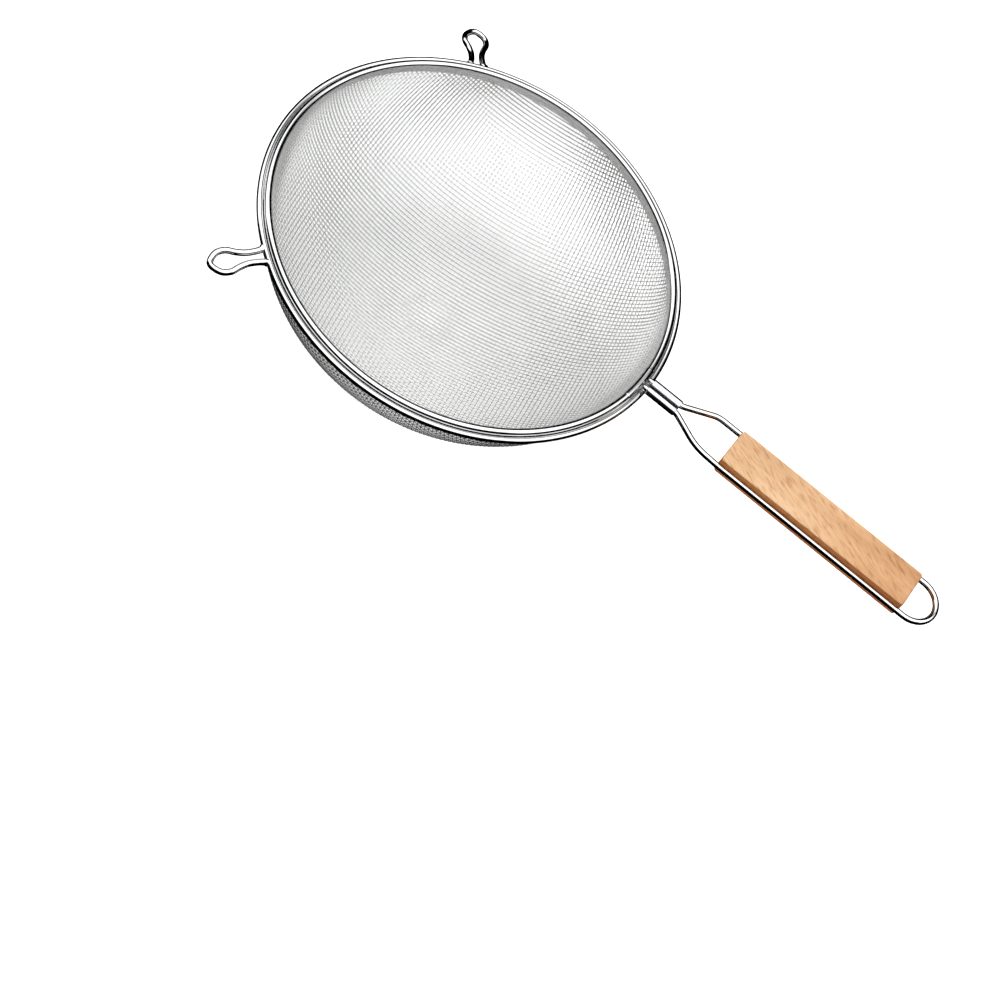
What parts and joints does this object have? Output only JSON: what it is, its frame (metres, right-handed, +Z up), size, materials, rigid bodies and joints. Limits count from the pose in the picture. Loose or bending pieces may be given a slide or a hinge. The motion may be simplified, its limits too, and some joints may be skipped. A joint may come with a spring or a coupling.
{
  "type": "double mesh strainer",
  "caption": "Round double-mesh bowl strainer with a rolled metal rim, wire hooks opposite the handle, and a flat wooden grip held in a bent wire with a hanging loop.",
  "frame": {"origin": "middle of the whole object's footprint, level with the bottom of the bowl", "axes": "+X along the handle, away from the bowl; +Z up, square to the rim's plane, out of the bowl's mouth; +Y to the left when looking along +X"},
  "size_m": [0.4684, 0.2638, 0.107],
  "materials": {
    "fine_cloth": "satin",
    "coarse_cloth": "satin",
    "rim_sheet": "polished",
    "core_wire": "satin",
    "hoop_wire": "polished",
    "hook_wire": "polished",
    "handle_wire": "polished",
    "ferrule_sheet": "satin",
    "beech": "satin"
  },
  "bodies": {
    "root": {"inner_mesh": "fine_cloth", "outer_mesh": "coarse_cloth", "rim_band": "rim_sheet", "rim_core_wire": "core_wire", "support_hoop": "hoop_wire", "hook_left": "hook_wire", "hook_right": "hook_wire", "handle_wire": "handle_wire", "handle_ferrule": "ferrule_sheet", "wood_grip": "beech"}
  },
  "joints": []
}
